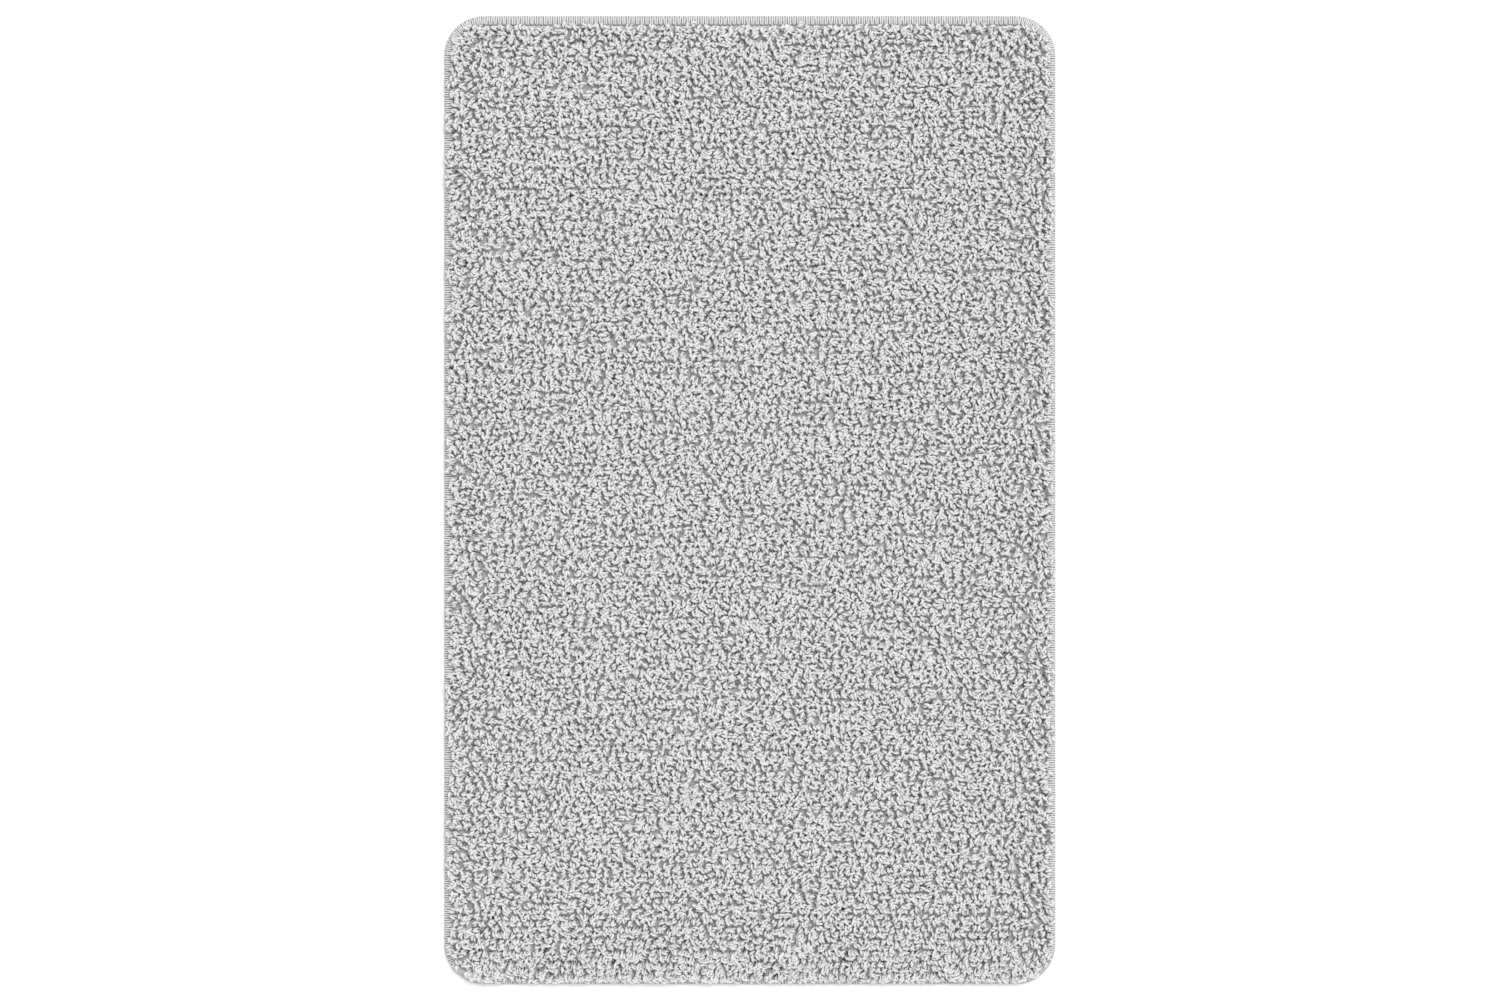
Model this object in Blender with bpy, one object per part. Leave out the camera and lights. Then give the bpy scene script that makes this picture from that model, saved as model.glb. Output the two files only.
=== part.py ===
"""Bath mat: rows of looped yarn tufted into a woven cloth, coated underneath and overlocked all round.

Metres, +Z up. The mat lies flat on Z = 0, centred on the Z axis. Its length runs along Y and its rows of
loops run across it, along X. From the floor up it is an anti-slip coat, a latex coat, the woven cloth and
the pile. The overlock threads wrap the edge of the cloth and latex, outside the pile and the anti-slip coat.
"""

import math

import bpy

# Overall outline
MAT_WIDTH = 0.505
MAT_LENGTH = 0.800
CORNER_RADIUS = 0.033

# Layers, from the floor up
ANTI_SLIP_THICKNESS = 0.0012
LATEX_THICKNESS = 0.0006
CLOTH_THICKNESS = 0.0005
PILE_HEIGHT = 0.0093

# Overlocked edge, seen from above from the outside in
OVERLOCK_WIDTH = 0.0070
LOOPER_THICKNESS = 0.0012
LOOPER_EDGE_CHAMFER = 0.0006
NEEDLE_THREAD_WIDTH = 0.0008

# Pile
ROW_PITCH = 0.0084
ROWS_IN_STRIP = 5
ROW_GROOVE_DEPTH = 0.0028
ROW_CREST = (0.3, 0.7)  # where a row's flat top starts and ends, as shares of the pitch
PILE_SHOULDER = 0.0030
PILE_SHOULDER_DROP = 0.0022

# Air between touching pieces
CLEARANCE = 0.0003

# A quarter circle of the outline has this many straight steps
CORNER_STEPS = 8

# Places that follow from the sizes above
LATEX_BOTTOM = ANTI_SLIP_THICKNESS + CLEARANCE
LATEX_TOP = LATEX_BOTTOM + LATEX_THICKNESS
CLOTH_BOTTOM = LATEX_TOP + CLEARANCE
CLOTH_TOP = CLOTH_BOTTOM + CLOTH_THICKNESS
FACE_LEVEL = CLOTH_TOP + CLEARANCE
PILE_TOP = FACE_LEVEL + PILE_HEIGHT
LOOPERS_MEET = (LATEX_BOTTOM + CLOTH_TOP) / 2

CLOTH_INSET = LOOPER_THICKNESS + CLEARANCE
ANTI_SLIP_INSET = OVERLOCK_WIDTH + CLEARANCE
NEEDLE_INSET = OVERLOCK_WIDTH + CLEARANCE
PILE_INSET = NEEDLE_INSET + NEEDLE_THREAD_WIDTH + CLEARANCE

PILE_LENGTH = MAT_LENGTH - 2 * PILE_INSET
ROW_COUNT = round(PILE_LENGTH / ROW_PITCH)
FITTED_PITCH = PILE_LENGTH / ROW_COUNT


def clear_scene():
    for old in list(bpy.data.objects):
        bpy.data.objects.remove(old, do_unlink=True)


def material(name, colour, roughness):
    made = bpy.data.materials.new(name)
    made.use_nodes = True
    shader = made.node_tree.nodes["Principled BSDF"]
    shader.inputs["Base Color"].default_value = (*colour, 1.0)
    shader.inputs["Roughness"].default_value = roughness
    shader.inputs["Metallic"].default_value = 0.0
    return made


def add_piece(name, points, faces, finish):
    """Makes one named object from its corner points and its faces, which point outwards."""
    mesh = bpy.data.meshes.new(name)
    mesh.from_pydata(points, [], faces)
    mesh.validate()
    mesh.materials.append(finish)
    piece = bpy.data.objects.new(name, mesh)
    bpy.context.scene.collection.objects.link(piece)
    return piece


def outline(inset):
    """Points round a rounded rectangle, anticlockwise from above, this far inside the mat's edge."""
    radius = CORNER_RADIUS - inset
    middle_x = MAT_WIDTH / 2 - CORNER_RADIUS
    middle_y = MAT_LENGTH / 2 - CORNER_RADIUS
    points = []
    for quarter, (side_x, side_y) in enumerate([(1, 1), (-1, 1), (-1, -1), (1, -1)]):
        for step in range(CORNER_STEPS + 1):
            angle = math.pi / 2 * (quarter + step / CORNER_STEPS)
            points.append(
                (
                    side_x * middle_x + radius * math.cos(angle),
                    side_y * middle_y + radius * math.sin(angle),
                )
            )
    return points


def half_width_at(y, inset):
    """Half the width, at this Y, of the rounded rectangle that lies this far inside the mat's edge."""
    radius = CORNER_RADIUS - inset
    into_corner = abs(y) - (MAT_LENGTH / 2 - CORNER_RADIUS)
    reach = radius if into_corner <= 0 else math.sqrt(max(radius**2 - into_corner**2, 0.0))
    return MAT_WIDTH / 2 - CORNER_RADIUS + reach


def add_layer(name, inset, bottom, thickness, finish):
    """A flat sheet with the mat's outline: two faces and the wall between them."""
    rim = outline(inset)
    count = len(rim)
    points = [(x, y, bottom) for x, y in rim] + [(x, y, bottom + thickness) for x, y in rim]
    faces = [list(reversed(range(count))), list(range(count, 2 * count))]
    for here in range(count):
        after = (here + 1) % count
        faces.append([here, after, count + after, count + here])
    return add_piece(name, points, faces, finish)


def add_ring(name, section, finish):
    """Carries a section round the mat's outline. The section is a list of (inset, height) that runs clockwise
    when the outside of the mat is on the left."""
    loops = [outline(inset) for inset, _ in section]
    around, corners = len(loops[0]), len(section)
    points = [(*loops[c][a], section[c][1]) for a in range(around) for c in range(corners)]
    faces = []
    for here in range(around):
        after = (here + 1) % around
        for corner in range(corners):
            beside = (corner + 1) % corners
            faces.append(
                [
                    here * corners + corner,
                    after * corners + corner,
                    after * corners + beside,
                    here * corners + beside,
                ]
            )
    return add_piece(name, points, faces, finish)


def add_pile_strip(name, first_row, last_row, finish):
    """A strip of neighbouring rows: rounded ridges along X over a flat underside, with sloping ends that
    follow the mat's outline."""
    groove = PILE_TOP - ROW_GROOVE_DEPTH
    first_y = -PILE_LENGTH / 2 + first_row * FITTED_PITCH
    last_y = -PILE_LENGTH / 2 + last_row * FITTED_PITCH
    profile = [(first_y + CLEARANCE / 2, groove)]
    for row in range(last_row - first_row):
        start = first_y + row * FITTED_PITCH
        if row > 0:
            profile.append((start, groove))
        profile += [(start + share * FITTED_PITCH, PILE_TOP) for share in ROW_CREST]
    profile.append((last_y - CLEARANCE / 2, groove))

    points = []
    for y, top in profile:
        reach = half_width_at(y, PILE_INSET)
        points += [
            (-reach, y, FACE_LEVEL),
            (-reach, y, top - PILE_SHOULDER_DROP),
            (-reach + PILE_SHOULDER, y, top),
            (reach - PILE_SHOULDER, y, top),
            (reach, y, top - PILE_SHOULDER_DROP),
            (reach, y, FACE_LEVEL),
        ]
    corners = len(points) // len(profile)
    faces = [list(reversed(range(corners)))]
    for place in range(len(profile) - 1):
        here, after = place * corners, (place + 1) * corners
        for corner in range(corners):
            beside = (corner + 1) % corners
            faces.append([here + corner, here + beside, after + beside, after + corner])
    last = (len(profile) - 1) * corners
    faces.append([last + corner for corner in range(corners)])
    return add_piece(name, points, faces, finish)


def add_pile(finish):
    strips = math.ceil(ROW_COUNT / ROWS_IN_STRIP)
    for strip in range(strips):
        first_row = strip * ROWS_IN_STRIP
        last_row = min(first_row + ROWS_IN_STRIP, ROW_COUNT)
        add_pile_strip(f"pile_rows_{strip + 1:02d}", first_row, last_row, finish)


def add_overlock(looper_finish, needle_finish):
    """The two looper threads, which lock together round the edge, and the needle thread on the face."""
    face_top = FACE_LEVEL + LOOPER_THICKNESS
    add_ring(
        "upper_looper_thread",
        [
            (LOOPER_THICKNESS, LOOPERS_MEET + CLEARANCE / 2),
            (0.0, LOOPERS_MEET + CLEARANCE / 2),
            (0.0, face_top - LOOPER_EDGE_CHAMFER),
            (LOOPER_EDGE_CHAMFER, face_top),
            (OVERLOCK_WIDTH, face_top),
            (OVERLOCK_WIDTH, FACE_LEVEL),
            (LOOPER_THICKNESS, FACE_LEVEL),
        ],
        looper_finish,
    )
    add_ring(
        "lower_looper_thread",
        [
            (LOOPER_THICKNESS, LOOPERS_MEET - CLEARANCE / 2),
            (LOOPER_THICKNESS, ANTI_SLIP_THICKNESS),
            (OVERLOCK_WIDTH, ANTI_SLIP_THICKNESS),
            (OVERLOCK_WIDTH, 0.0),
            (LOOPER_EDGE_CHAMFER, 0.0),
            (0.0, LOOPER_EDGE_CHAMFER),
            (0.0, LOOPERS_MEET - CLEARANCE / 2),
        ],
        looper_finish,
    )
    inner = NEEDLE_INSET + NEEDLE_THREAD_WIDTH
    add_ring(
        "needle_thread",
        [
            (NEEDLE_INSET, FACE_LEVEL),
            (NEEDLE_INSET, FACE_LEVEL + NEEDLE_THREAD_WIDTH),
            (inner, FACE_LEVEL + NEEDLE_THREAD_WIDTH),
            (inner, FACE_LEVEL),
        ],
        needle_finish,
    )


def main():
    clear_scene()
    yarn = material("light_grey_pile_yarn", (0.58, 0.58, 0.58), 0.90)
    looper = material("grey_overlock_thread", (0.52, 0.52, 0.52), 0.70)
    needle = material("grey_needle_thread", (0.40, 0.40, 0.40), 0.70)
    cloth = material("woven_backing_cloth", (0.72, 0.71, 0.68), 0.85)
    latex = material("cured_latex", (0.76, 0.73, 0.64), 0.60)
    rubber = material("anti_slip_rubber", (0.62, 0.62, 0.61), 0.50)

    add_layer("anti_slip_backing", ANTI_SLIP_INSET, 0.0, ANTI_SLIP_THICKNESS, rubber)
    add_layer("latex_coat", CLOTH_INSET, LATEX_BOTTOM, LATEX_THICKNESS, latex)
    add_layer("primary_backing", CLOTH_INSET, CLOTH_BOTTOM, CLOTH_THICKNESS, cloth)
    add_overlock(looper, needle)
    add_pile(yarn)


main()
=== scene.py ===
"""Looks of the bath mat: looped two-ply pile in rows, overlocked edge, woven cloth, latex and anti-slip coat.

Metres, +Z up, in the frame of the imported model. The rows of loops run along X.
"""

import bpy
import numpy as np
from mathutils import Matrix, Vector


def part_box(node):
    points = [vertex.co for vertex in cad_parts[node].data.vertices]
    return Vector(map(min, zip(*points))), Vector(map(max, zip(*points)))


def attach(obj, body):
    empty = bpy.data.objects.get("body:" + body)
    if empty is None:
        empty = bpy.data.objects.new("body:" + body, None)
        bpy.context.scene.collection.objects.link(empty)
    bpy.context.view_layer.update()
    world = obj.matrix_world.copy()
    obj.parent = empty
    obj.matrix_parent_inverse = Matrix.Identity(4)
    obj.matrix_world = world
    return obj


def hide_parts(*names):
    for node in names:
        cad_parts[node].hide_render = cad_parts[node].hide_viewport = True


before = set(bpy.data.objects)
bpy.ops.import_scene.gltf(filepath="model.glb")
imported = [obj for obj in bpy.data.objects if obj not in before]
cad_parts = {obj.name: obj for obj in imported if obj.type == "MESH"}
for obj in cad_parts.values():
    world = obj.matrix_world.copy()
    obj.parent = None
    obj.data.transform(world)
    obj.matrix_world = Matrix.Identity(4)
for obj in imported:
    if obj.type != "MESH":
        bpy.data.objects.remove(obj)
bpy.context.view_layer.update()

MM = 0.001
BODY = "root"
rng = np.random.default_rng(7)

# ---------------------------------------------------------------- sizes read from the frame

HALF_WIDTH, HALF_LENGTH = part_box("upper_looper_thread")[1].xy
RIM = np.array([vertex.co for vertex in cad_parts["upper_looper_thread"].data.vertices])
# The outline's arcs start where the straight sides end.
CORNER_RADIUS = HALF_LENGTH - RIM[RIM[:, 0] > HALF_WIDTH - 0.01 * MM, 1].max()


def inset_of(node):
    """How far inside the mat's outline the outside of this node lies."""
    return HALF_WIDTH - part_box(node)[1].x


ANTI_SLIP_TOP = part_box("anti_slip_backing")[1].z
LATEX_BOTTOM, LATEX_TOP = (corner.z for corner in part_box("latex_coat"))
CLOTH_BOTTOM, CLOTH_TOP = (corner.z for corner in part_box("primary_backing"))
LOOPERS_MEET = (LATEX_BOTTOM + CLOTH_TOP) / 2
FACE_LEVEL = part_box("needle_thread")[0].z
PILE_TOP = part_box("pile_rows_02")[1].z
PILE_INSET = inset_of("pile_rows_02")
NEEDLE_INSET = inset_of("needle_thread")

ROWS_IN_STRIP = 5
STRIPS = sorted(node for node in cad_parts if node.startswith("pile_rows_"))
STRIP_BOXES = [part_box(node) for node in STRIPS]
ROW_PITCH = (STRIP_BOXES[1][0].y - STRIP_BOXES[0][0].y) / ROWS_IN_STRIP
ROW_STRIP = [
    strip
    for strip, (low, high) in zip(STRIPS, STRIP_BOXES)
    for _ in range(round((high.y - low.y) / ROW_PITCH))
]
FIRST_ROW_Y = STRIP_BOXES[0][0].y + ROW_PITCH / 2

# ---------------------------------------------------------------- sizes of the yarn and threads

LOOP_PITCH = 2.55 * MM  # along a row, from loop to loop
LOOP_SCATTER = 0.45  # how far a loop may stand from its place along the row, in pitches
LOOP_SHIFT = 2.0 * MM  # every other loop stands this much to each side of its row
SHIFT_SCATTER = 0.4 * MM
ROW_END_ROOM = 0.25 * LOOP_PITCH
CLUMP_PITCH = 9.4 * MM  # loops lean together in clumps about this far apart
CLUMP_LEAN = 0.9 * MM  # towards a clump's middle
CLUMP_DRIFT = 1.2  # of the clumps along their row, in radians of their pitch
LOOP_HALF_WIDTH = 1.6 * MM
# A loop's width at its root, what its belly adds to that, both as shares, and the power that shapes its rise
LOOP_NECK, LOOP_BELLY, LOOP_POWER = 0.25, 1.2, 0.8
LOOP_WIDTH_RANGE = 0.75, 1.25
LOOP_TURN_SPREAD = 0.5  # of the loops' turn from the row's line, in half turns
NAP_LEAN = np.array([-0.3, -1.0]) * MM  # how far the tops of all the loops lie over
LEAN_SCATTER = 0.8 * MM
# How high a loop stands, as a share of the room for it, and what is added to that
LOOP_HEIGHT = 0.97
HEIGHT_WANDER = 0.05
HEIGHT_SCATTER = 0.09
CLUMP_RISE = 0.06
HEIGHT_RANGE = 0.75, 1.2
FLOP_LOWERING = 0.08  # how much lower a loop stands that flops over by its own height
ROOT_SINK = 0.4 * MM  # of the yarn's middle below the cloth's face, at a root
PLY_RADIUS = 0.98 * MM
PLY_OFFSET = 1.3 * MM  # of each ply's middle from the yarn's middle
PLY_WIDTH = 1.4  # of a ply's oval, as a share of its height
PLY_TWIST = 11 * MM  # yarn length for one full turn
PLY_BEAD = 0.06  # share by which a ply swells and narrows along it
BEAD_LIMIT = 1.5  # the most that it does so, in multiples of that share
PLY_SIDES = 4
# A ply's radius, as a share of its full one: at the roots, added by mid height, and lost again at the top
ROOT_SWELL, BODY_SWELL, TOP_NARROWING = 0.35, 0.72, 0.07
# And the shares of a loop's height between which each of those two changes happens
BODY_RANGE, TOP_RANGE = (0.05, 0.6), (0.75, 1.0)
YARN_MAP_LENGTH = 10 * MM  # length of yarn or thread to one unit of its map
# Where along a loop its yarn is worked out, from root to root
LOOP_STEPS = np.array([0, 0.19, 0.36, 0.5, 0.64, 0.81])

# The pile at the mat's edges
SIDE_REACH = 34 * MM  # how far in from its sides and its high end the loops flop outwards
LOW_REACH = 60 * MM  # and from its low end
# How far they flop outwards, in mm, and by how much that wanders
FLOP_AT_MINUS_X = 4.4, 2.0
FLOP_AT_PLUS_X = 4.8, 1.6
FLOP_AT_LOW_END = 9.4, 1.0
FLOP_AT_HIGH_END = 0.5, 0.8
FLOP_RANGE = 0.1, 0.75  # the shares of a loop's height between which it bends over
CORNER_CALM = 0.5  # share of the flop that is held back at a corner
CORNER_CALM_FROM, CORNER_CALM_TO = 42 * MM, 22 * MM  # from where the mat's sides would meet
EDGE_ROOM = 2.6 * MM  # from the mat's outline to the middle of the outermost yarn

WAVE_SPREAD = 0.7, 1.6  # a random field's shortest and longest waves, as shares of its wavelength
# Wavelengths of the random fields that the pile follows
FLOP_WAVE = 30 * MM
CLUMP_WAVE = 60 * MM
HEIGHT_WAVE = 18 * MM
TURN_WAVE = 14 * MM
# And of those that it leans by, each with its size
LEAN_FIELD = 0.5 * MM, 16 * MM
ROW_BEND = 1.0 * MM, 48 * MM
ROW_RIPPLE = 0.6 * MM, 12 * MM

STITCH_LENGTH = 3.8 * MM  # of the overlock, along the edge
LOOPER_STEPS = 12  # to a stitch
LOOPER_SIDES = 5
LOOPER_HALF_WIDTH = 0.85 * MM
LOOPER_HALF_HEIGHT = 0.55 * MM
LOOPER_WRAP = 1.1 * MM  # radius of its turn round the edge
LOOPER_WRAP_ANGLE = np.radians(100)
LOOPER_OUT = 0.06, 0.40  # when a looper goes out across the band and comes back, as shares of a stitch
LOOPER_BACK = 0.60, 0.94
WRAP_START = 0.8  # share of the way out at which the turn round the edge starts
# How far a looper's inner turns lie inside the band, and how high it bows on its way across
UPPER_LOOPER_GAP, LOWER_LOOPER_GAP = 0.5 * MM, 0.1 * MM
UPPER_LOOPER_CROWN, LOWER_LOOPER_CROWN = 0.25 * MM, 0.05 * MM
LOOPER_LIFT = 0.05 * MM  # of a thread off the face
LOOPER_DIP = 0.3 * MM  # at its inner turn, under the needle thread
LOOPER_DIP_REACH = 0.2  # share of the way out over which it comes up from that
LOOPER_SQUARENESS = 0.8  # how nearly square to the edge it crosses the band: 0 is a plain zigzag
LOWER_LOOPER_DELAY = 0.25  # along the edge, in stitches
LOOPER_SCATTER = 0.035  # along the edge, in stitches
LOOPER_UNEVENNESS = 0.05  # of its width, as a share
LOOPER_TURN_NARROWING = 0.4  # share of its width that it loses at its turns
NEEDLE_THREAD_RADIUS = 0.5 * MM
NEEDLE_SHIFT = 0.2 * MM  # inwards from the band's inner side
NEEDLE_DEPTH = 0.8 * MM  # of its middle below the face, at the holes
NEEDLE_RISE = 2.2 * MM  # from there to the top of a stitch
NEEDLE_TILT = 0.3  # outwards, of the way its top faces
NEEDLE_STEPS = 8
NEEDLE_SIDES = 4

TAPE_PITCH = 1.5 * MM  # of the cloth's tapes, both ways
SHEET_STEP = 16 * MM
SHEET_WAVE = 40 * MM
CLOTH_UNEVENNESS, LATEX_UNEVENNESS, FILM_UNEVENNESS = 0.05 * MM, 0.1 * MM, 0.08 * MM
CORNER_STEPS = 8
DOT_PITCH = 18 * MM
DOT_RADIUS = 3.2 * MM
DOT_FOOT = 0.7  # a dot's radius on the floor, as a share of its full one
DOT_OVERLAP = 0.25 * MM  # of a dot with the film
DOT_SIDES = 8
FILM_BOTTOM = 0.45 * MM

# ---------------------------------------------------------------- meshes


def unit(vectors):
    return vectors / np.linalg.norm(vectors, axis=-1, keepdims=True)


def square_to(vectors, heading):
    """What is left of the vectors square to this heading, made one long."""
    return unit(vectors - (vectors * heading).sum(-1, keepdims=True) * heading)


def smoothstep(low, high, values):
    share = np.clip((values - low) / (high - low), 0.0, 1.0)
    return share * share * (3.0 - 2.0 * share)


def add_piece(name, corners, quads, caps, maps, numbers, replaced, finish):
    """Puts whole arrays into a new mesh object that rides on the mat. quads is an (n, 4) array of corner
    numbers, caps a list of longer faces, maps gives (corners, 2) places for each UV map, and numbers gives
    one value a corner for each attribute."""
    sizes = np.concatenate([np.full(len(quads), 4), [len(cap) for cap in caps]]).astype(np.int32)
    around = np.concatenate([quads.ravel(), *caps]).astype(np.int32)
    mesh = bpy.data.meshes.new(name)
    mesh.vertices.add(len(corners))
    mesh.vertices.foreach_set("co", np.asarray(corners, np.float32).ravel())
    mesh.loops.add(len(around))
    mesh.loops.foreach_set("vertex_index", around)
    mesh.polygons.add(len(sizes))
    mesh.polygons.foreach_set("loop_start", (np.cumsum(sizes) - sizes).astype(np.int32))
    for map_name, places in maps.items():
        layer = mesh.uv_layers.new(name=map_name)
        layer.uv.foreach_set("vector", np.asarray(places, np.float32)[around].ravel())
    for number_name, values in numbers.items():
        attribute = mesh.attributes.new(number_name, "FLOAT", "POINT")
        attribute.data.foreach_set("value", np.asarray(values, np.float32))
    mesh.update(calc_edges=True)
    mesh.validate()
    mesh.polygons.foreach_set("use_smooth", np.full(len(sizes), True))
    mesh.materials.append(finish)
    piece = bpy.data.objects.new(name, mesh)
    bpy.context.scene.collection.objects.link(piece)
    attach(piece, BODY)
    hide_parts(replaced)
    return piece


def tube_faces(rings, sides, closed):
    """Quads between neighbouring rings of corners, facing outwards, and the two end caps of an open tube."""
    ring = np.arange(rings if closed else rings - 1)[:, None]
    side = np.arange(sides)[None, :]
    after, beside = (ring + 1) % rings, (side + 1) % sides
    quads = np.stack(
        np.broadcast_arrays(
            ring * sides + side, ring * sides + beside, after * sides + beside, after * sides + side
        ),
        axis=-1,
    ).reshape(-1, 4)
    caps = [] if closed else [np.arange(sides)[::-1], (rings - 1) * sides + np.arange(sides)]
    return quads, caps


def tube_corners(middle, across, over, sides):
    """Carries an oval along a path: middle + across * cos(a) + over * sin(a), for a going round in equal
    steps. across and over hold the oval's two half-axes at each point of the path."""
    angle = 2 * np.pi * np.arange(sides) / sides
    return (
        middle[:, None, :]
        + across[:, None, :] * np.cos(angle)[None, :, None]
        + over[:, None, :] * np.sin(angle)[None, :, None]
    ).reshape(-1, 3)


def there_and_back(sides):
    """A map's place for each corner of a ring: from 0 at one side of a tube, over its top or bottom, to 1 at
    its other side, so the map has no jump round the tube."""
    return 1 - np.abs(2 * np.arange(sides) / sides - 1)


def waves(places, wavelength, count=24):
    """A smooth random field of about -1 to 1: the sum of plane waves of about this wavelength in random
    directions."""
    angle = rng.uniform(0, 2 * np.pi, count)
    length = wavelength * rng.uniform(*WAVE_SPREAD, count)
    shift = rng.uniform(0, 2 * np.pi, count)
    run = places[..., 0, None] * np.cos(angle) + places[..., 1, None] * np.sin(angle)
    return np.sin(2 * np.pi * run / length + shift).sum(-1) / np.sqrt(count / 2)


def half_width_at(y, inset):
    """Half the width at this Y of the rounded rectangle that lies this far inside the mat's outline."""
    radius = CORNER_RADIUS - inset
    into_corner = np.clip(np.abs(y) - (HALF_LENGTH - CORNER_RADIUS), 0.0, radius)
    return HALF_WIDTH - CORNER_RADIUS + np.sqrt(radius**2 - into_corner**2)


# ---------------------------------------------------------------- pile


def loop_places():
    """The root of every loop, as (x, y), and the row it is in. Each row is filled from end to end with loops
    about a pitch apart, to one side and the other of its line in turn, and shifted at random."""
    places, rows = [], []
    for row in range(len(ROW_STRIP)):
        y = FIRST_ROW_Y + row * ROW_PITCH
        reach = half_width_at(y, PILE_INSET) - ROW_END_ROOM
        count = int(round(2 * reach / LOOP_PITCH)) + 1
        x = np.linspace(-reach, reach, count)
        x[1:-1] += rng.uniform(-LOOP_SCATTER, LOOP_SCATTER, count - 2) * LOOP_PITCH
        side = np.where(np.arange(count) % 2, 1, -1) * rng.choice([-1, 1])
        shift = side * LOOP_SHIFT + SHIFT_SCATTER * rng.normal(size=count)
        places.append(np.stack([x, y + shift], axis=1))
        rows.append(np.full(count, row))
    return np.concatenate(places), np.concatenate(rows)


def clump_phase(places, rows):
    """Where each loop stands between the middles of its row's clumps, as an angle that is 0 at a middle."""
    start = rng.uniform(0, 2 * np.pi, len(ROW_STRIP))[rows]
    return 2 * np.pi * places[:, 0] / CLUMP_PITCH + start + CLUMP_DRIFT * waves(places, CLUMP_WAVE)


def edge_push(places):
    """How far the top of each loop flops over the edge for want of a neighbour there, as (x, y). The nap lies
    towards -Y and a little towards -X, so the pile covers the low end's stitching and leaves the high end's
    bare."""
    x, y = places.T
    from_side = half_width_at(y, PILE_INSET) - np.abs(x)
    from_low, from_high = y + HALF_LENGTH - PILE_INSET, HALF_LENGTH - PILE_INSET - y
    side = smoothstep(SIDE_REACH, 0, from_side)
    low = smoothstep(LOW_REACH, 0, from_low)
    high = smoothstep(SIDE_REACH, 0, from_high)
    field = waves(places, FLOP_WAVE)
    minus_x, plus_x, low_end, high_end = (
        mean + wander * field
        for mean, wander in (FLOP_AT_MINUS_X, FLOP_AT_PLUS_X, FLOP_AT_LOW_END, FLOP_AT_HIGH_END)
    )
    sideways = np.where(x < 0, -minus_x, plus_x) * side
    lengthways = -low_end * low + high_end * high
    from_corner = np.hypot(HALF_WIDTH - np.abs(x), HALF_LENGTH - np.abs(y))
    held_back = 1 - CORNER_CALM * smoothstep(CORNER_CALM_FROM, CORNER_CALM_TO, from_corner)
    return np.stack([sideways, lengthways], axis=1) * MM * held_back[:, None]


def leaning_field(places, size, wavelength):
    """A smooth random field of about this size each way."""
    return size * waves(places, wavelength)


def loop_paths(places, rows):
    """The middle of the yarn through every loop, as an array (loops, steps, 3), the loop plane's normal, and
    how far up its loop each step is. A loop is a teardrop that stands on its root: across = -w cos(pi s)
    (neck + belly sin(pi s)), up = h sin(pi s) ** power, for s from 0 to 1, turned about Z by a random angle
    and leaning by the square of its height. At the mat's edges it bends over near its root, and then
    stands."""
    count = len(places)
    clump = clump_phase(places, rows)
    height = (PILE_TOP - FACE_LEVEL - PLY_RADIUS - PLY_OFFSET) * (
        LOOP_HEIGHT
        + HEIGHT_WANDER * waves(places, HEIGHT_WAVE)
        + HEIGHT_SCATTER * rng.normal(size=count)
        + CLUMP_RISE * np.cos(clump)
    ).clip(*HEIGHT_RANGE)
    turn = np.pi * LOOP_TURN_SPREAD * (rng.normal(size=count) + waves(places, TURN_WAVE))
    half = LOOP_HALF_WIDTH * rng.uniform(*LOOP_WIDTH_RANGE, count)
    push = edge_push(places)
    lean = np.stack([leaning_field(places, *LEAN_FIELD), leaning_field(places, *LEAN_FIELD)], axis=1)
    lean += rng.normal(size=(count, 2)) * LEAN_SCATTER
    lean += NAP_LEAN
    lean[:, 0] -= CLUMP_LEAN * np.sin(clump)
    lean[:, 1] += leaning_field(places, *ROW_BEND) + leaning_field(places, *ROW_RIPPLE)
    height /= 1 + FLOP_LOWERING * (push**2).sum(1) / height**2

    arch = np.sin(np.pi * LOOP_STEPS)
    across = -half[:, None] * np.cos(np.pi * LOOP_STEPS) * (LOOP_NECK + LOOP_BELLY * arch)
    share = np.broadcast_to(arch**LOOP_POWER, across.shape)
    path = np.empty((*across.shape, 3))
    for axis, heading in enumerate([np.cos(turn), np.sin(turn)]):
        leaning = lean[:, axis, None] * share**2 + push[:, axis, None] * smoothstep(*FLOP_RANGE, share)
        path[..., axis] = places[:, axis, None] + across * heading[:, None] + leaning
    path[..., 1] = np.clip(path[..., 1], -HALF_LENGTH + EDGE_ROOM, HALF_LENGTH - EDGE_ROOM)
    room = half_width_at(path[..., 1], EDGE_ROOM)
    path[..., 0] = np.clip(path[..., 0], -room, room)
    path[..., 2] = FACE_LEVEL - ROOT_SINK + height[:, None] * share
    normal = np.stack([-np.sin(turn), np.cos(turn), np.zeros(count)], axis=1)
    return path, normal, share


def ply(middle, normal, phase, swell, number, corners_before):
    """One ply of a yarn: C + r (cos(p) N + sin(p) B) is its middle, where C is the yarn's middle, N and B are
    square to it and p turns with its length. An oval that doesn't turn is carried along that."""
    tangent = unit(np.gradient(middle, axis=0))
    normal = square_to(normal, tangent)
    binormal = np.cross(tangent, normal)
    angle = (phase + np.pi * number)[:, None]
    outward = np.cos(angle) * normal + np.sin(angle) * binormal
    strand = middle + outward * PLY_OFFSET * swell
    heading = unit(np.gradient(strand, axis=0))
    over = square_to(normal, heading)
    radius = PLY_RADIUS * swell * (1 + PLY_BEAD * rng.normal(size=swell.shape).clip(-BEAD_LIMIT, BEAD_LIMIT))
    corners = tube_corners(strand, over * radius, np.cross(heading, over) * radius * PLY_WIDTH, PLY_SIDES)
    quads, caps = tube_faces(len(strand), PLY_SIDES, closed=False)
    return corners, quads + corners_before, [cap + corners_before for cap in caps]


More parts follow.
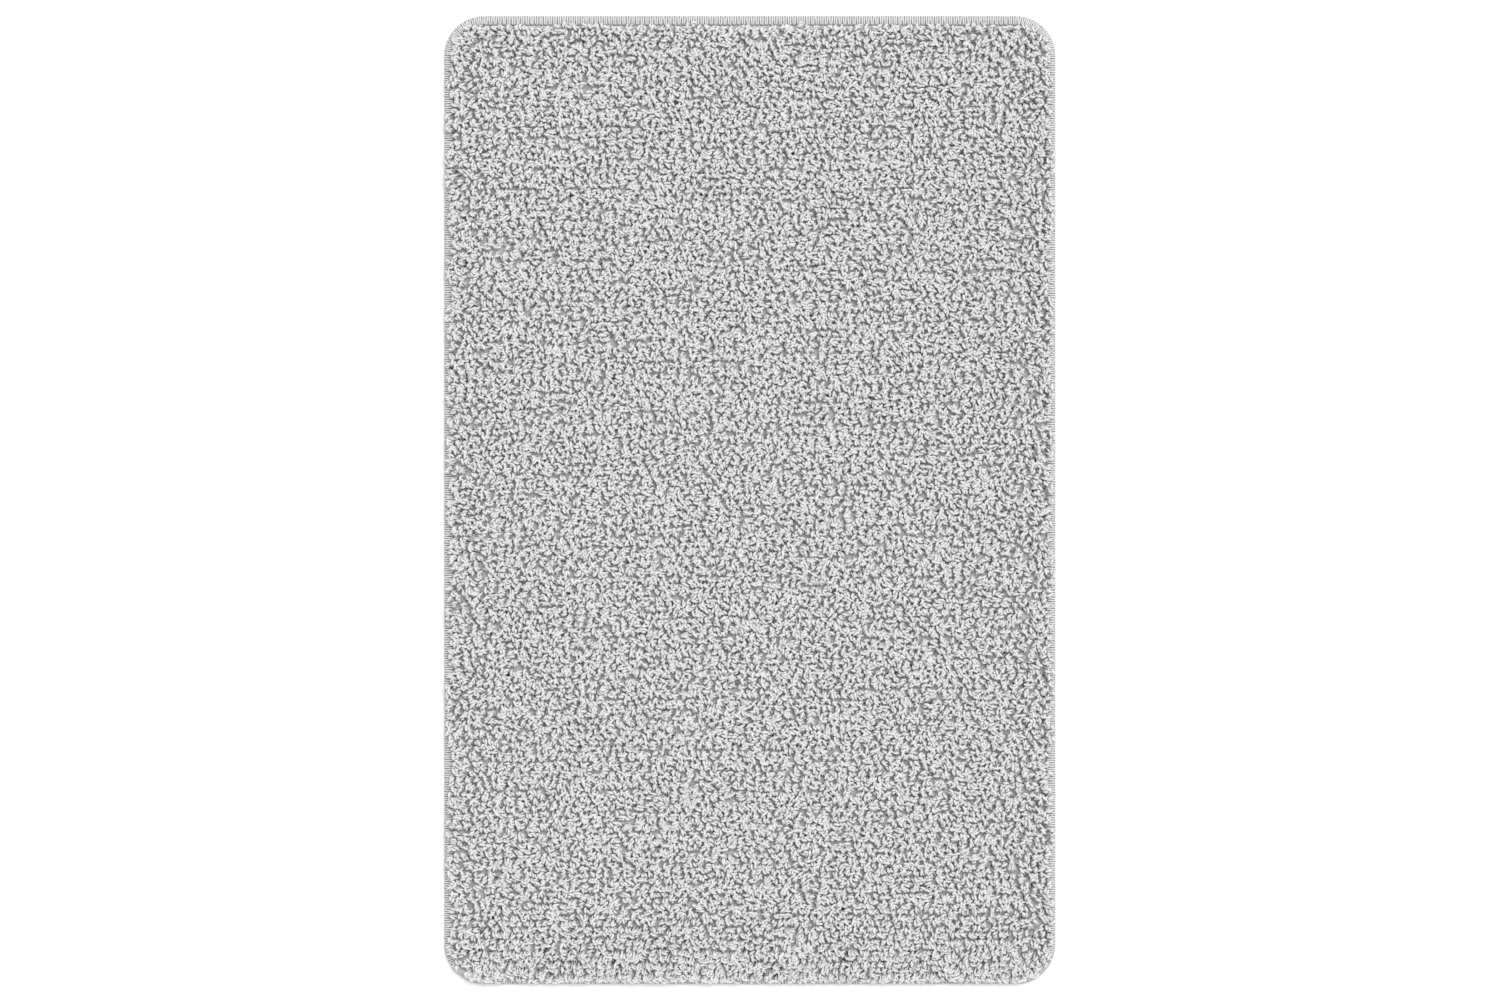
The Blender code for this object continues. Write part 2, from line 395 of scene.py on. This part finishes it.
def add_pile(finish):
    """Each row's yarn is two plies wound round its middle, by a full turn for each twist length along it. The
    plies are thin at the roots, so that they don't crowd there, and fullest at mid height."""
    places, rows = loop_places()
    path, plane, share = loop_paths(places, rows)
    twist_start = rng.uniform(0, 2 * np.pi, len(places))
    tone = rng.normal(size=len(places))
    steps = len(LOOP_STEPS)
    for row in range(len(ROW_STRIP)):
        mine = rows == row
        middle = path[mine].reshape(-1, 3)
        agree = np.where((plane[mine][1:] * plane[mine][:-1]).sum(1) < 0, -1, 1)
        facing = np.cumprod(np.concatenate([[1], agree]))
        normal = np.repeat(plane[mine] * facing[:, None], steps, axis=0)
        run = np.concatenate([[0], np.cumsum(np.linalg.norm(np.diff(middle, axis=0), axis=1))])
        up = share[mine].reshape(-1, 1)
        body, top = smoothstep(*BODY_RANGE, up), smoothstep(*TOP_RANGE, up)
        swell = ROOT_SWELL + BODY_SWELL * body - TOP_NARROWING * top
        phase = 2 * np.pi * run / PLY_TWIST + np.repeat(twist_start[mine], steps)
        first = ply(middle, normal, phase, swell, 0, 0)
        second = ply(middle, normal, phase, swell, 1, len(first[0]))
        around = np.tile(there_and_back(PLY_SIDES), 2 * len(middle))
        along = np.tile(np.repeat(run, PLY_SIDES), 2) / YARN_MAP_LENGTH
        corners = np.concatenate([first[0], second[0]])
        crest = middle.reshape(-1, steps, 3)[..., 2].max(1) + PLY_OFFSET + PLY_RADIUS
        depth = (np.tile(np.repeat(crest, steps * PLY_SIDES), 2) - corners[:, 2]) / MM
        add_piece(
            f"pile_yarn_{row + 1:02d}",
            corners,
            np.concatenate([first[1], second[1]]),
            first[2] + second[2],
            {"yarn": np.stack([around, along], axis=1)},
            {"tone": np.tile(np.repeat(tone[mine], steps * PLY_SIDES), 2), "depth": depth},
            ROW_STRIP[row],
            finish,
        )


# ---------------------------------------------------------------- overlocked edge


def outline_at(distance):
    """Where the mat's outline is at this distance along it, anticlockwise from the low end of the +X side, as
    the middle that it turns round and the direction outwards from there. The outline is middle + r outwards,
    and what lies inside it by an inset is middle + (r - inset) outwards. A straight side's middle moves along
    with it, and a corner's stays."""
    straight = 2 * np.array([HALF_LENGTH - CORNER_RADIUS, HALF_WIDTH - CORNER_RADIUS] * 2)
    arc = np.pi / 2 * CORNER_RADIUS
    ends = np.cumsum(straight + arc)
    distance = distance % ends[-1]
    side = np.searchsorted(ends, distance, side="right")
    into = distance - (ends[side] - straight[side] - arc)
    turned = np.clip(into - straight[side], 0, arc) / CORNER_RADIUS + np.pi / 2 * side
    start = np.array([(1, -1), (1, 1), (-1, 1), (-1, -1)])[side]
    start = start * (np.array([HALF_WIDTH, HALF_LENGTH]) - CORNER_RADIUS)
    ahead = np.stack([-np.sin(np.pi / 2 * side), np.cos(np.pi / 2 * side)], axis=-1)
    middle = start + ahead * np.minimum(into, straight[side])[:, None]
    return middle, np.stack([np.cos(turned), np.sin(turned)], axis=-1)


OUTLINE_LENGTH = 4 * (HALF_WIDTH + HALF_LENGTH) - (8 - 2 * np.pi) * CORNER_RADIUS
STITCHES = round(OUTLINE_LENGTH / STITCH_LENGTH)


def along_outline(steps_per_stitch):
    """For every step of every stitch: its place in its stitch, from 0 to 1, and the stitch's number."""
    place = np.tile(np.arange(steps_per_stitch) / steps_per_stitch, STITCHES)
    return place, np.repeat(np.arange(STITCHES), steps_per_stitch)


def closed_tube(middle, over, half_width, half_height, sides):
    """An oval carried round a closed path, flat side facing the way that over points."""
    heading = unit(np.roll(middle, -1, axis=0) - np.roll(middle, 1, axis=0))
    over = square_to(over, heading)
    across = np.cross(over, heading)
    corners = tube_corners(middle, across * half_width, over * half_height, sides)
    quads, _ = tube_faces(len(middle), sides, closed=True)
    run = np.cumsum(np.linalg.norm(middle - np.roll(middle, 1, axis=0), axis=1))
    around = np.tile(there_and_back(sides), len(middle))
    places = np.stack([around, np.repeat(run, sides) / YARN_MAP_LENGTH], axis=1)
    return corners, quads, places


def add_looper(name, replaced, under, finish):
    """A looper thread's zigzag: out across the band, round the edge to where it hooks the other looper, and
    back, twice across for each stitch. Distance along the edge is u + c sin(4 pi u) / (4 pi) stitches, where
    c is its squareness, so it crosses nearly square to the edge and moves on at the turns. Its place across
    the band is r, from 0 under the needle thread to 1 at the hook; the last part of it is an arc round the
    edge. The lower looper is the same thread turned upside down and a quarter of a stitch on."""
    place, stitch = along_outline(LOOPER_STEPS)
    moved = stitch + place + LOOPER_SQUARENESS * np.sin(4 * np.pi * place) / (4 * np.pi)
    moved += LOWER_LOOPER_DELAY if under else 0.0
    moved += LOOPER_SCATTER * rng.normal(size=len(place))
    middle, outwards = outline_at(moved * OUTLINE_LENGTH / STITCHES)
    reach = smoothstep(*LOOPER_OUT, place) - smoothstep(*LOOPER_BACK, place)
    inner = NEEDLE_INSET + (LOWER_LOOPER_GAP if under else UPPER_LOOPER_GAP)
    bend_inset = LOOPER_WRAP + LOOPER_HALF_HEIGHT
    flat = np.clip(reach / WRAP_START, 0, 1)
    bend = LOOPER_WRAP_ANGLE * np.clip((reach - WRAP_START) / (1 - WRAP_START), 0, 1)
    inset = inner + (bend_inset - inner) * flat - LOOPER_WRAP * np.sin(bend)
    crown_height = LOWER_LOOPER_CROWN if under else UPPER_LOOPER_CROWN
    crown = crown_height * np.sin(np.pi * flat) * (1 - flat)
    band_level = FACE_LEVEL + LOOPER_HALF_HEIGHT + LOOPER_LIFT
    level = band_level + crown - LOOPER_WRAP * (1 - np.cos(bend))
    level -= LOOPER_DIP * smoothstep(LOOPER_DIP_REACH, 0, flat)
    facing = np.cos(bend)
    if under:
        level, facing = 2 * LOOPERS_MEET - level, -facing
    thread = np.column_stack([middle + (CORNER_RADIUS - inset)[:, None] * outwards, level])
    over = np.column_stack([outwards * np.sin(bend)[:, None], facing])
    turning = np.abs(np.cos(2 * np.pi * place)) ** 3
    uneven = 1 + LOOPER_UNEVENNESS * rng.normal(size=len(place))
    half_width = (LOOPER_HALF_WIDTH * (1 - LOOPER_TURN_NARROWING * turning) * uneven)[:, None]
    corners, quads, places = closed_tube(thread, over, half_width, LOOPER_HALF_HEIGHT, LOOPER_SIDES)
    add_piece(name, corners, quads, [], {"yarn": places}, {}, replaced, finish)


def add_needle_thread(finish):
    """The needle thread's stitches: it lies on the loopers' inner turns, and dives through a hole at each end
    of a stitch, by sin(pi u) ** 1.5."""
    place, stitch = along_outline(NEEDLE_STEPS)
    middle, outwards = outline_at((stitch + place - 0.5) * OUTLINE_LENGTH / STITCHES)
    inset = NEEDLE_INSET + NEEDLE_SHIFT
    rise = np.sin(np.pi * place) ** 1.5
    level = FACE_LEVEL - NEEDLE_DEPTH + NEEDLE_RISE * rise
    thread = np.column_stack([middle + (CORNER_RADIUS - inset) * outwards, level])
    tilt = NEEDLE_TILT * np.column_stack([outwards, 0 * level])
    up = np.broadcast_to([0.0, 0.0, 1.0], thread.shape) + tilt
    radius = NEEDLE_THREAD_RADIUS
    corners, quads, places = closed_tube(thread, up, radius, radius, NEEDLE_SIDES)
    maps = {"yarn": places}
    add_piece(
        "needle_thread_stitches", corners, quads, [], maps, {}, "needle_thread", finish
    )


# ---------------------------------------------------------------- layers under the pile


def layer(inset, bottom, top, unevenness):
    """A thin closed sheet with the mat's outline: at each Y, a ring that runs across the top and back across
    the bottom, x = a * half width for a from -1 to 1 and back. Its top and bottom both wander by a smooth
    random field."""
    radius = CORNER_RADIUS - inset
    bend = radius * np.sin(np.linspace(0, np.pi / 2, CORNER_STEPS + 1))
    straight = HALF_LENGTH - CORNER_RADIUS
    inside = np.linspace(-straight, straight, round(2 * straight / SHEET_STEP))
    y = np.concatenate([-straight - bend[:0:-1], inside, straight + bend[1:]])
    a = np.linspace(-1, 1, round(2 * HALF_WIDTH / SHEET_STEP))
    x = half_width_at(y, inset)[:, None] * np.concatenate([a, a[::-1]])[None, :]
    places = np.stack([x, np.broadcast_to(y[:, None], x.shape)], axis=-1)
    level = np.where(np.arange(2 * len(a)) < len(a), top - unevenness, bottom + unevenness)
    z = level + unevenness * np.clip(waves(places, SHEET_WAVE), -1, 1)
    corners = np.concatenate([places, z[..., None]], axis=-1).reshape(-1, 3)
    return corners, *tube_faces(len(y), 2 * len(a), closed=False)


def add_cloth(finish):
    """The cloth lies flat between the latex and the pile, and covers all that the mat's edge threads hold."""
    inset = inset_of("primary_backing")
    corners, quads, caps = layer(inset, CLOTH_BOTTOM, CLOTH_TOP, CLOTH_UNEVENNESS)
    return add_piece(
        "woven_cloth", corners, quads, caps, {}, {}, "primary_backing", finish
    )


def add_latex(finish):
    """The latex is a film under the whole cloth, thicker in one place than in another."""
    corners, quads, caps = layer(inset_of("latex_coat"), LATEX_BOTTOM, LATEX_TOP, LATEX_UNEVENNESS)
    return add_piece("latex_film", corners, quads, caps, {}, {}, "latex_coat", finish)


def add_anti_slip(finish):
    """A film with rows of moulded dots under it, every other row shifted by half a pitch. A dot is a ring of
    its full radius inside the film, a smaller ring on the floor, and a cap on each."""
    inset = inset_of("anti_slip_backing")
    corners, quads, caps = layer(inset, FILM_BOTTOM, ANTI_SLIP_TOP, FILM_UNEVENNESS)
    step_y = DOT_PITCH * np.sqrt(0.75)
    column = np.arange(-round(HALF_WIDTH / DOT_PITCH), round(HALF_WIDTH / DOT_PITCH) + 1)
    row = np.arange(-round(HALF_LENGTH / step_y), round(HALF_LENGTH / step_y) + 1)
    x = (column[None, :] + 0.5 * (row[:, None] % 2)) * DOT_PITCH
    y = np.broadcast_to(row[:, None] * step_y, x.shape)
    room = inset + 2 * DOT_RADIUS
    inside = (np.abs(y) < HALF_LENGTH - room) & (np.abs(x) < half_width_at(y, room))
    dots = np.stack([x[inside], y[inside]], axis=1)
    angle = -2 * np.pi * np.arange(DOT_SIDES) / DOT_SIDES
    circle = np.stack([np.cos(angle), np.sin(angle), 0 * angle], axis=1)
    inside_film = circle * DOT_RADIUS + [0, 0, FILM_BOTTOM + DOT_OVERLAP]
    on_floor = circle * DOT_FOOT * DOT_RADIUS
    rings = np.concatenate([inside_film, on_floor])
    dot_corners = (rings[None] + np.column_stack([dots, np.zeros(len(dots))])[:, None]).reshape(-1, 3)
    dot_quads, dot_caps = tube_faces(2, DOT_SIDES, closed=False)
    starts = len(corners) + len(rings) * np.arange(len(dots))
    quads = np.concatenate([quads, (dot_quads[None] + starts[:, None, None]).reshape(-1, 4)])
    caps += [cap + start for start in starts for cap in dot_caps]
    return add_piece(
        "anti_slip_coat",
        np.concatenate([corners, dot_corners]),
        quads,
        caps,
        {},
        {},
        "anti_slip_backing",
        finish,
    )


# ---------------------------------------------------------------- materials


def linear(hex_colour):
    """An sRGB hex colour as the linear numbers that shaders use."""
    parts = np.array([int(hex_colour[place : place + 2], 16) for place in (1, 3, 5)]) / 255
    made = np.where(parts <= 0.04045, parts / 12.92, ((parts + 0.055) / 1.055) ** 2.4)
    return (*made.tolist(), 1.0)


def add_node(tree, kind, inputs=(), **settings):
    """Adds a node. inputs gives each of its sockets, by name or number, a value or the socket that feeds it,
    and settings are its properties."""
    made = tree.nodes.new(kind)
    for name, value in settings.items():
        setattr(made, name, value)
    for name, value in dict(inputs).items():
        if isinstance(value, bpy.types.NodeSocket):
            tree.links.new(value, made.inputs[name])
        else:
            made.inputs[name].default_value = value
    return made


def new_material(name):
    made = bpy.data.materials.new(name)
    made.use_nodes = True
    made.node_tree.nodes.clear()
    return made, made.node_tree


def finish_material(tree, shader):
    add_node(tree, "ShaderNodeOutputMaterial", {"Surface": shader.outputs["BSDF"]})


# In mm below a loop's top: where its yarn is wholly shaded by its neighbours, and where it no longer is
SHADED_DEPTH, LIT_DEPTH = 5.4, 1.4


def pile_material():
    """Microfibre polyester: fine texturised filaments in a soft two-ply yarn, looped and heat-set. It
    scatters light like felt, with a pale velvet rim and no gloss. Its colour is painted darker down between
    the loops, as painted shade where fibres shade each other."""
    made, tree = new_material("microfibre_polyester_loop_yarn")
    depth_mm = add_node(tree, "ShaderNodeAttribute", attribute_name="depth")
    depth = add_node(
        tree,
        "ShaderNodeMapRange",
        {"Value": depth_mm.outputs["Fac"], "From Min": SHADED_DEPTH, "From Max": LIT_DEPTH},
        interpolation_type="SMOOTHSTEP",
    )
    along_yarn = add_node(tree, "ShaderNodeUVMap", uv_map="yarn")
    # Filaments are 0.01 mm thick, and are drawn as streaks about 0.7 mm wide and 1.4 mm long.
    stretched = add_node(tree, "ShaderNodeMapping", {"Vector": along_yarn.outputs[0], "Scale": (5, 7, 1)})
    streaks = add_node(
        tree,
        "ShaderNodeTexNoise",
        {"Vector": stretched.outputs[0], "Scale": 1.0, "Detail": 2.0, "Roughness": 0.6},
    )
    tone = add_node(tree, "ShaderNodeAttribute", attribute_name="tone")
    tone_share = add_node(
        tree,
        "ShaderNodeMapRange",
        {"Value": tone.outputs["Fac"], "From Min": -2.5, "From Max": 2.5, "To Min": 0.93, "To Max": 1.07},
    )
    # Painted shade: the yarn's colour goes from the shaded grey deep down to the lit grey near its top.
    colour = add_node(
        tree,
        "ShaderNodeMix",
        {0: depth.outputs[0], 6: linear("#D0D0D0"), 7: linear("#D8D8D8")},
        data_type="RGBA",
    )
    streak_tone = add_node(
        tree,
        "ShaderNodeMapRange",
        {"Value": streaks.outputs["Fac"], "From Min": 0.3, "From Max": 0.7, "To Min": 0.80, "To Max": 1.16},
    )
    both = add_node(
        tree, "ShaderNodeMath", {0: tone_share.outputs[0], 1: streak_tone.outputs[0]}, operation="MULTIPLY"
    )
    shade = add_node(
        tree, "ShaderNodeVectorMath", {0: colour.outputs[2], "Scale": both.outputs[0]}, operation="SCALE"
    )
    bump = add_node(
        tree, "ShaderNodeBump", {"Strength": 0.6, "Distance": 0.4 * MM, "Height": streaks.outputs["Fac"]}
    )
    shader = add_node(
        tree,
        "ShaderNodeBsdfPrincipled",
        {
            "Base Color": shade.outputs[0],
            "Roughness": 0.92,
            "Specular IOR Level": 0.2,
            "Sheen Weight": 0.15,
            "Sheen Roughness": 0.6,
            "Normal": bump.outputs[0],
        },
    )
    finish_material(tree, shader)
    return made


def thread_material(name, colour_hex, shade_hex):
    """Texturised polyester sewing thread: many crimped filaments laid side by side, so it is matt, with soft
    streaks along it. Its colour is painted lighter on its crown and darker at its sides, as painted light and
    painted shade in the grooves between neighbours."""
    made, tree = new_material(name)
    along_yarn = add_node(tree, "ShaderNodeUVMap", uv_map="yarn")
    # Filaments are 0.02 mm thick, and are drawn as streaks about 0.2 mm wide.
    stretched = add_node(tree, "ShaderNodeMapping", {"Vector": along_yarn.outputs[0], "Scale": (10, 6, 1)})
    streaks = add_node(
        tree, "ShaderNodeTexNoise", {"Vector": stretched.outputs[0], "Scale": 1.0, "Detail": 2.0}
    )
    around = add_node(tree, "ShaderNodeSeparateXYZ", {0: along_yarn.outputs[0]})
    # The crown of the thread lies in the middle of the map, and the grooves beside it at the map's two sides.
    crown = add_node(tree, "ShaderNodeMath", {0: around.outputs["X"], 1: 0.5, 2: 0.5}, operation="PINGPONG")
    # Painted light and shade: the crown is coloured towards the lit colour and the sides towards the shade
    # colour.
    lit = add_node(
        tree,
        "ShaderNodeMapRange",
        {"Value": crown.outputs[0], "From Min": 0.0, "From Max": 0.35, "To Min": 0.0, "To Max": 0.8},
    )
    filaments = add_node(
        tree,
        "ShaderNodeMapRange",
        {"Value": streaks.outputs["Fac"], "From Min": 0.3, "From Max": 0.7, "To Min": -0.2, "To Max": 0.2},
    )
    shade = add_node(tree, "ShaderNodeMath", {0: lit.outputs[0], 1: filaments.outputs[0]}, use_clamp=True)
    colour = add_node(
        tree,
        "ShaderNodeMix",
        {0: shade.outputs[0], 6: linear(shade_hex), 7: linear(colour_hex)},
        data_type="RGBA",
    )
    bump = add_node(
        tree, "ShaderNodeBump", {"Strength": 0.4, "Distance": 0.2 * MM, "Height": streaks.outputs["Fac"]}
    )
    shader = add_node(
        tree,
        "ShaderNodeBsdfPrincipled",
        {
            "Base Color": colour.outputs[2],
            "Roughness": 0.8,
            "Specular IOR Level": 0.3,
            "Sheen Weight": 0.1,
            "Sheen Roughness": 0.5,
            "Normal": bump.outputs[0],
        },
    )
    finish_material(tree, shader)
    return made


def cloth_material():
    """Woven polypropylene: flat extruded tapes, one over and one under. The tapes are smooth and a little
    waxy, rounded across their width. Its colour is painted darker where the tapes dip, as painted shade in
    the holes between them, which read as dark points, and the whole cloth is coloured a darker grey, as
    painted shade from the pile above it."""
    made, tree = new_material("woven_polypropylene_tape")
    place = add_node(tree, "ShaderNodeTexCoord").outputs["Object"]
    # A wave texture turns through 20 for each unit of its scale.
    wave_scale = 2 * np.pi / (20 * TAPE_PITCH)
    tapes = [
        add_node(tree, "ShaderNodeTexWave", {"Vector": place, "Scale": wave_scale}, bands_direction=heading)
        for heading in ("X", "Y")
    ]
    over_or_under = add_node(tree, "ShaderNodeTexChecker", {"Vector": place, "Scale": 1 / TAPE_PITCH})
    height = add_node(
        tree,
        "ShaderNodeMix",
        {0: over_or_under.outputs["Fac"], 2: tapes[0].outputs["Fac"], 3: tapes[1].outputs["Fac"]},
    )
    # Painted shade: the cloth's greys are darker for the pile's shade over it, and darker still where the
    # tapes dip.
    colour = add_node(
        tree,
        "ShaderNodeMix",
        {0: height.outputs[0], 6: linear("#B8B8B8"), 7: linear("#D4D4D4")},
        data_type="RGBA",
    )
    bump = add_node(
        tree, "ShaderNodeBump", {"Strength": 0.8, "Distance": 0.15 * MM, "Height": height.outputs[0]}
    )
    shader = add_node(
        tree,
        "ShaderNodeBsdfPrincipled",
        {"Base Color": colour.outputs[2], "Roughness": 0.5, "Normal": bump.outputs[0]},
    )
    finish_material(tree, shader)
    return made


def latex_material():
    """Latex pre-coat, frothed, spread on with a blade and cured: cream, matt, with burst bubbles of 1 to 3 mm
    and cloudy patches where it lies thinner."""
    made, tree = new_material("frothed_latex_pre_coat")
    place = add_node(tree, "ShaderNodeTexCoord").outputs["Object"]
    bubbles = add_node(tree, "ShaderNodeTexVoronoi", {"Vector": place, "Scale": 1 / (2.2 * MM)})
    pits = add_node(
        tree, "ShaderNodeMapRange", {"Value": bubbles.outputs["Distance"], "From Min": 0.1, "From Max": 0.45}
    )
    clouds = add_node(tree, "ShaderNodeTexNoise", {"Vector": place, "Scale": 1 / (18 * MM), "Detail": 3.0})
    cream = add_node(
        tree,
        "ShaderNodeMix",
        {0: clouds.outputs["Fac"], 6: linear("#CFC9B8"), 7: linear("#E2DDCF")},
        data_type="RGBA",
    )
    colour = add_node(
        tree,
        "ShaderNodeMix",
        {0: pits.outputs[0], 6: linear("#B4AD99"), 7: cream.outputs[2]},
        data_type="RGBA",
    )
    bump = add_node(
        tree, "ShaderNodeBump", {"Strength": 0.7, "Distance": 0.2 * MM, "Height": pits.outputs[0]}
    )
    shader = add_node(
        tree,
        "ShaderNodeBsdfPrincipled",
        {"Base Color": colour.outputs[2], "Roughness": 0.7, "Normal": bump.outputs[0]},
    )
    finish_material(tree, shader)
    return made


def rubber_material():
    """Thermoplastic rubber, melted on and moulded against an etched roller: pale grey, a soft wide highlight,
    a fine pebbled grain, and faint clouds in its colour."""
    made, tree = new_material("moulded_thermoplastic_rubber")
    place = add_node(tree, "ShaderNodeTexCoord").outputs["Object"]
    # The roller's grain is about 0.1 mm, and is drawn at 0.7 mm.
    grain = add_node(tree, "ShaderNodeTexNoise", {"Vector": place, "Scale": 1 / (0.7 * MM), "Detail": 3.0})
    clouds = add_node(tree, "ShaderNodeTexNoise", {"Vector": place, "Scale": 1 / (25 * MM), "Detail": 3.0})
    cloud_share = add_node(
        tree, "ShaderNodeMapRange", {"Value": clouds.outputs["Fac"], "From Min": 0.3, "From Max": 0.7}
    )
    colour = add_node(
        tree,
        "ShaderNodeMix",
        {0: cloud_share.outputs[0], 6: linear("#B6B6B4"), 7: linear("#C8C8C5")},
        data_type="RGBA",
    )
    gloss = add_node(
        tree,
        "ShaderNodeMapRange",
        {"Value": grain.outputs["Fac"], "From Min": 0.3, "From Max": 0.7, "To Min": 0.45, "To Max": 0.65},
    )
    bump = add_node(
        tree, "ShaderNodeBump", {"Strength": 0.5, "Distance": 0.1 * MM, "Height": grain.outputs["Fac"]}
    )
    shader = add_node(
        tree,
        "ShaderNodeBsdfPrincipled",
        {
            "Base Color": colour.outputs[2],
            "Roughness": gloss.outputs[0],
            "Normal": bump.outputs[0],
        },
    )
    finish_material(tree, shader)
    return made


# ---------------------------------------------------------------- stage


FLOOR_REACH = 60.0
FLOOR_GAP = 0.2 * MM
ROOM_LIGHT = 0.80
SOFTBOX_LIGHT = 2.05
SOFTBOX_ANGLE = np.radians(45)
SOFTBOX_TILT = np.radians(-18), np.radians(16)


def add_stage():
    floor_mesh = bpy.data.meshes.new("floor")
    side = FLOOR_REACH
    floor_mesh.from_pydata(
        [(-side, -side, 0), (side, -side, 0), (side, side, 0), (-side, side, 0)], [], [(0, 1, 2, 3)]
    )
    floor = bpy.data.objects.new("floor", floor_mesh)
    bpy.context.scene.collection.objects.link(floor)
    floor.location.z = -FLOOR_GAP
    paint, tree = new_material("white_floor_paint")
    shader = add_node(tree, "ShaderNodeBsdfPrincipled", {"Base Color": linear("#F4F4F4"), "Roughness": 0.8})
    finish_material(tree, shader)
    floor_mesh.materials.append(paint)

    world = bpy.data.worlds.new("soft_white_room")
    bpy.context.scene.world = world
    world.use_nodes = True
    room_light = world.node_tree.nodes["Background"].inputs
    room_light["Color"].default_value = (1, 1, 1, 1)
    room_light["Strength"].default_value = ROOM_LIGHT
    softbox_data = bpy.data.lights.new("overhead_softbox", "SUN")
    softbox_data.energy = SOFTBOX_LIGHT
    softbox_data.angle = SOFTBOX_ANGLE
    softbox = bpy.data.objects.new("overhead_softbox", softbox_data)
    softbox.rotation_euler = (*SOFTBOX_TILT, 0)
    bpy.context.scene.collection.objects.link(softbox)


FRAME_WIDTH = 1.2372  # what the camera sees across, level with the top of the pile
LENS, SENSOR = 200.0, 36.0  # in mm
SIGHT_RANGE = 100.0


def add_camera():
    data = bpy.data.cameras.new("camera")
    data.lens, data.sensor_width = LENS, SENSOR
    data.clip_end = SIGHT_RANGE
    made = bpy.data.objects.new("camera", data)
    made.location = (0, 0, FRAME_WIDTH * LENS / SENSOR + PILE_TOP)
    bpy.context.scene.collection.objects.link(made)
    bpy.context.scene.camera = made
    bpy.context.scene.view_settings.view_transform = "Standard"


add_camera()
add_stage()
add_pile(pile_material())
looper_finish = thread_material("texturised_polyester_overlock_thread", "#DEDEDE", "#9E9E9E")
add_looper("upper_looper_zigzag", "upper_looper_thread", False, looper_finish)
add_looper("lower_looper_zigzag", "lower_looper_thread", True, looper_finish)
# The needle thread is coloured darker than the loopers, as painted shade for the holes that it dives into.
add_needle_thread(thread_material("spun_polyester_needle_thread", "#B0B0B0", "#6A6A6A"))
cloth = add_cloth(cloth_material())
latex = add_latex(latex_material())
add_anti_slip(rubber_material())
